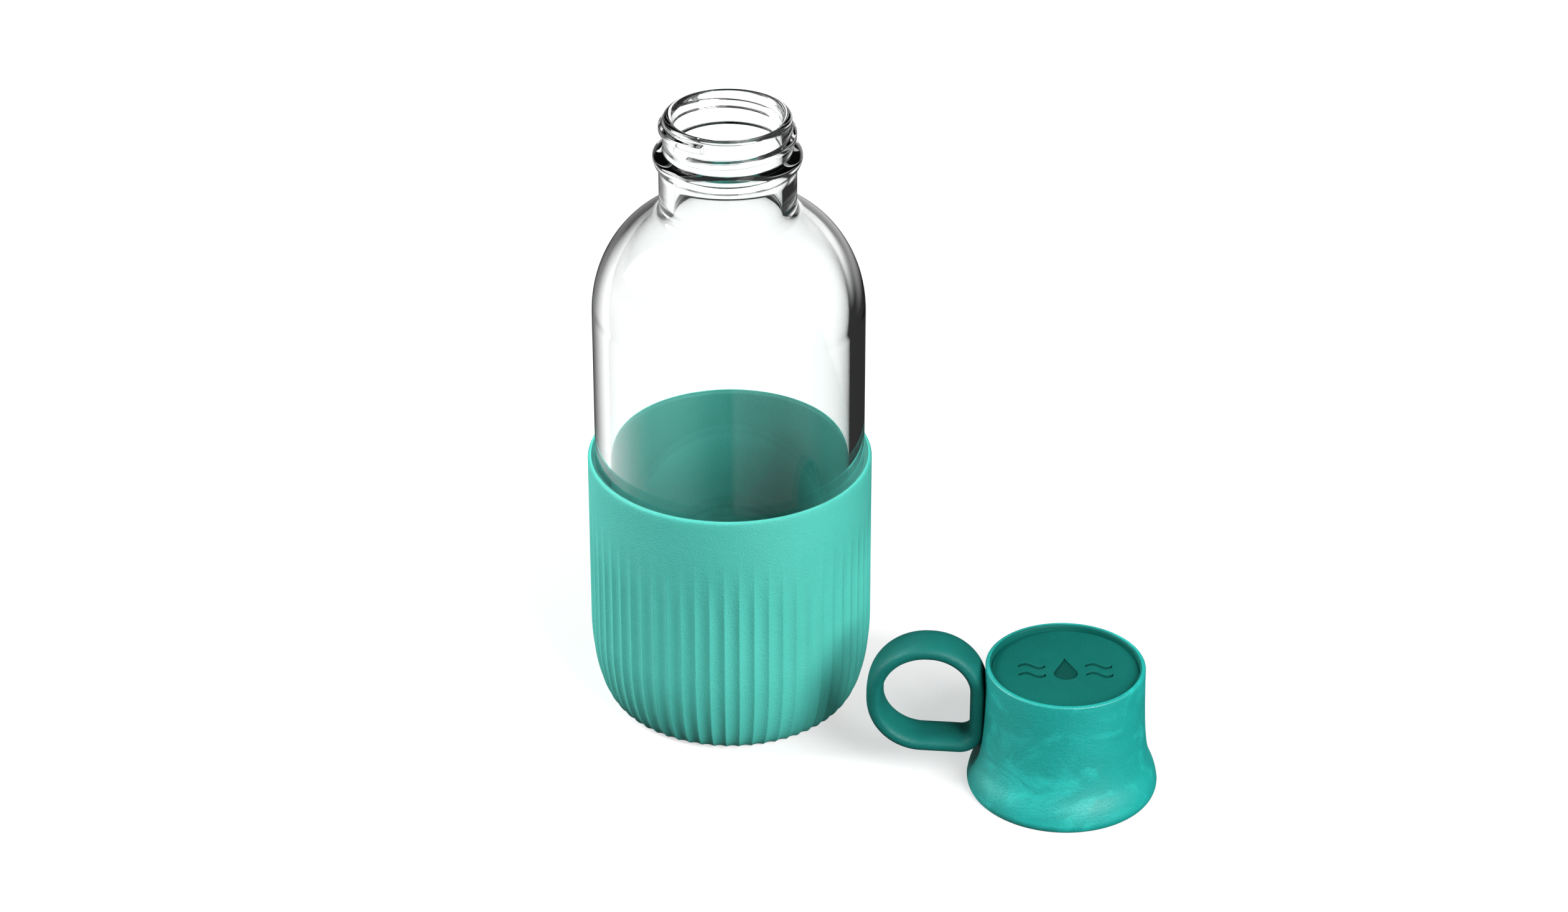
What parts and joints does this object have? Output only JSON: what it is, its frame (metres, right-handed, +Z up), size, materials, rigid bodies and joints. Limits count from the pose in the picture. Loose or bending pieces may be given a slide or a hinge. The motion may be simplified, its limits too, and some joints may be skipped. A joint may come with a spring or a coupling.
{
  "type": "glass water bottle",
  "caption": "Clear glass water bottle with a fluted silicone sleeve over its lower half and a flared screw cap with a carry loop, shown open with the cap standing beside it.",
  "frame": {"origin": "on the bottle's axis, at the underside of the sleeve that the bottle stands on", "axes": "+Z up along the bottle's axis; +X towards the side where the cap stands, and -Y towards the viewer"},
  "size_m": [0.158, 0.1152, 0.1805],
  "materials": {
    "glass": "clear, polished",
    "sleeve_silicone": "matte, fine grain",
    "cap_plastic": "matte, fine grain",
    "disc_plastic": "matte, fine grain",
    "loop_rubber": "matte, fine grain",
    "liner_plastic": "satin",
    "seal_silicone": "satin, translucent white"
  },
  "bodies": {
    "sleeve": {"sleeve": "sleeve_silicone"},
    "glass": {"glass_bottle": "glass"},
    "seal": {"seal_ring": "seal_silicone"},
    "cap": {"cap_shell": "cap_plastic", "cap_disc": "disc_plastic", "cap_loop": "loop_rubber", "cap_liner": "liner_plastic"}
  },
  "joints": [
    {"name": "glass_lift", "type": "slide", "parent": "sleeve", "child": "glass", "axis": [0, 0, 1], "range_m": [0, 0.08]},
    {"name": "cap_lift", "type": "slide", "parent": "sleeve", "child": "seal", "axis": [0, 0, 1], "range_m": [0, 0.185]},
    {"name": "cap_turn", "type": "hinge", "parent": "seal", "child": "cap", "pos_m": [0.0921, -0.0493, 0.019], "axis": [0, 0, 1], "range_deg": [0, 340]}
  ]
}
